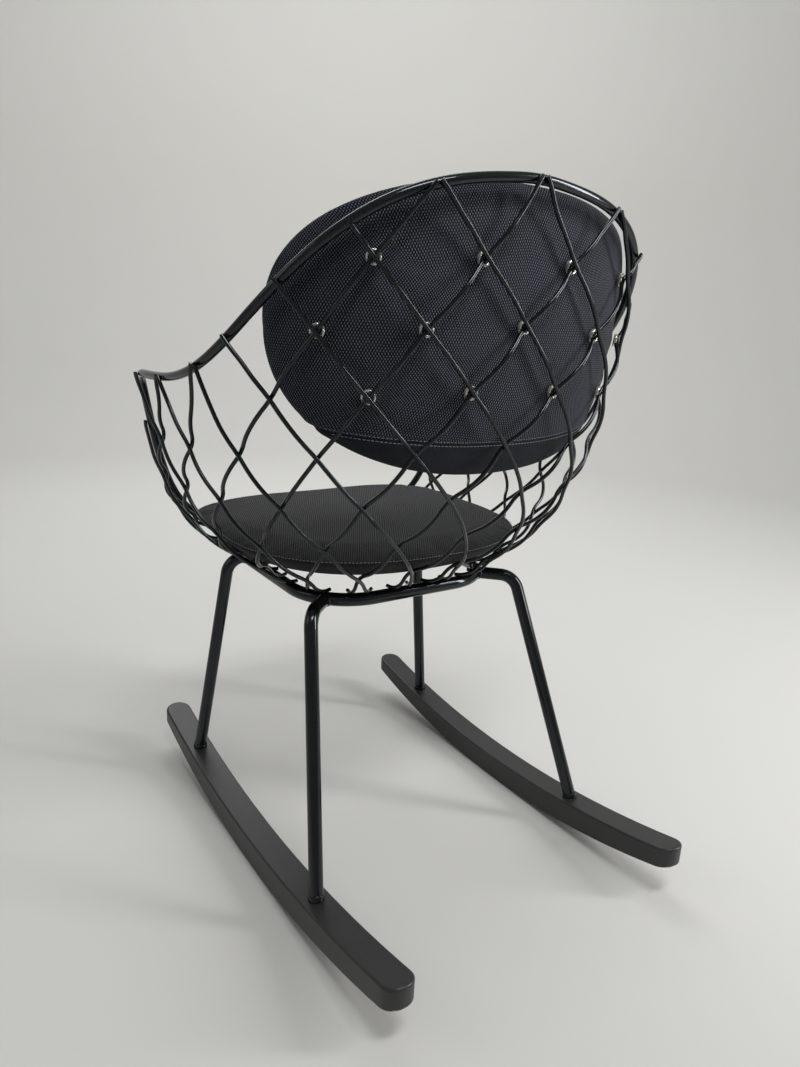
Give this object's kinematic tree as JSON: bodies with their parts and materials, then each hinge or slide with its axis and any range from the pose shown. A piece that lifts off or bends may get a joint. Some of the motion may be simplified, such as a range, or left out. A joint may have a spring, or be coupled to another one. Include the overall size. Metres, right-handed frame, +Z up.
{
  "type": "rocking armchair",
  "caption": "Rocking armchair with a bucket seat of crossing steel wires, loose seat and back cushions, tube legs and two curved wooden rockers.",
  "frame": {"origin": "on the floor under the middle of the rockers, where they touch it at rest", "axes": "+Z up, the sitter faces -Y, +X to the sitter's left"},
  "size_m": [0.611, 0.7088, 0.8838],
  "materials": {
    "coated_steel": "satin",
    "stained_wood": "matte",
    "zinc_steel": "satin",
    "knit_fabric": "matte",
    "clip_metal": "gloss"
  },
  "bodies": {
    "frame": {"base_ring": "coated_steel", "rim": "coated_steel", "wire_outer_01": "coated_steel", "wire_outer_02": "coated_steel", "wire_outer_03": "coated_steel", "wire_outer_04": "coated_steel", "wire_outer_05": "coated_steel", "wire_outer_06": "coated_steel", "wire_outer_07": "coated_steel", "wire_outer_08": "coated_steel", "wire_outer_09": "coated_steel", "wire_outer_10": "coated_steel", "wire_outer_11": "coated_steel", "wire_outer_12": "coated_steel", "wire_outer_13": "coated_steel", "wire_outer_14": "coated_steel", "wire_outer_15": "coated_steel", "wire_outer_16": "coated_steel", "wire_outer_17": "coated_steel", "wire_outer_18": "coated_steel", "wire_inner_01": "coated_steel", "wire_inner_02": "coated_steel", "wire_inner_03": "coated_steel", "wire_inner_04": "coated_steel", "wire_inner_05": "coated_steel", "wire_inner_06": "coated_steel", "wire_inner_07": "coated_steel", "wire_inner_08": "coated_steel", "wire_inner_09": "coated_steel", "wire_inner_10": "coated_steel", "wire_inner_11": "coated_steel", "wire_inner_12": "coated_steel", "wire_inner_13": "coated_steel", "wire_inner_14": "coated_steel", "wire_inner_15": "coated_steel", "wire_inner_16": "coated_steel", "wire_inner_17": "coated_steel", "wire_inner_18": "coated_steel", "leg_front_left": "coated_steel", "leg_front_right": "coated_steel", "leg_rear_left": "coated_steel", "leg_rear_right": "coated_steel", "rocker_left": "stained_wood", "rocker_right": "stained_wood", "rocker_screws": "zinc_steel", "leg_plugs": "zinc_steel"},
    "seat": {"seat_cushion": "knit_fabric"},
    "back": {"back_cushion": "knit_fabric", "cushion_clips": "clip_metal"}
  },
  "joints": [
    {"name": "seat_cushion_lift", "type": "slide", "parent": "frame", "child": "seat", "axis": [0, 0, 1], "range_m": [0, 0.08]},
    {"name": "back_cushion_unclip", "type": "slide", "parent": "frame", "child": "back", "axis": [0, -1, 0], "range_m": [0, 0.08]}
  ]
}
